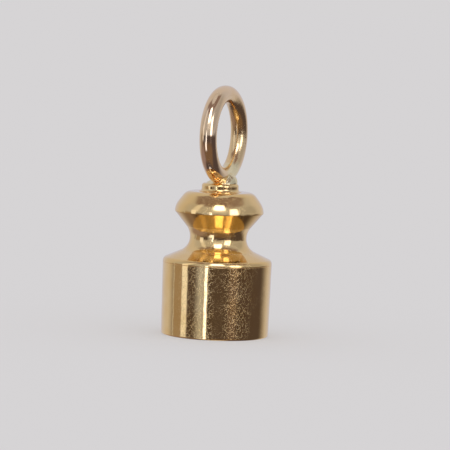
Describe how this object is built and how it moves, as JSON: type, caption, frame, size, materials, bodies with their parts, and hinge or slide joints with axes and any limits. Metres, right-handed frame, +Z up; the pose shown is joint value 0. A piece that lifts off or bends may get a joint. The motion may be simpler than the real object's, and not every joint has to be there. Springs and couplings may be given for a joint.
{
  "type": "hanging ornament",
  "caption": "Small gilt hanging ornament shaped like a squat knob-topped balance weight, with a round wire ring soldered upright on its crown.",
  "frame": {"origin": "centre of the flat base, in the plane it stands on", "axes": "+Z up along the turned body's axis to the top of the ring; the ring stands upright, parallel to the XZ plane, and its hole runs along Y"},
  "size_m": [0.01, 0.01, 0.0229],
  "materials": {
    "polished_gold": "bright gilt polish with fine hairline scratches",
    "ring_gold": "bright gilt polish on drawn wire",
    "solder": "pale gold solder, softly polished"
  },
  "bodies": {
    "root": {"base_plate": "polished_gold", "side_band": "polished_gold", "shoulder_cap": "polished_gold", "neck_spool": "polished_gold", "knob_cup": "polished_gold", "knob_dome": "polished_gold", "eye_collar": "polished_gold", "hanging_ring": "ring_gold", "ring_solder": "solder"}
  },
  "joints": []
}
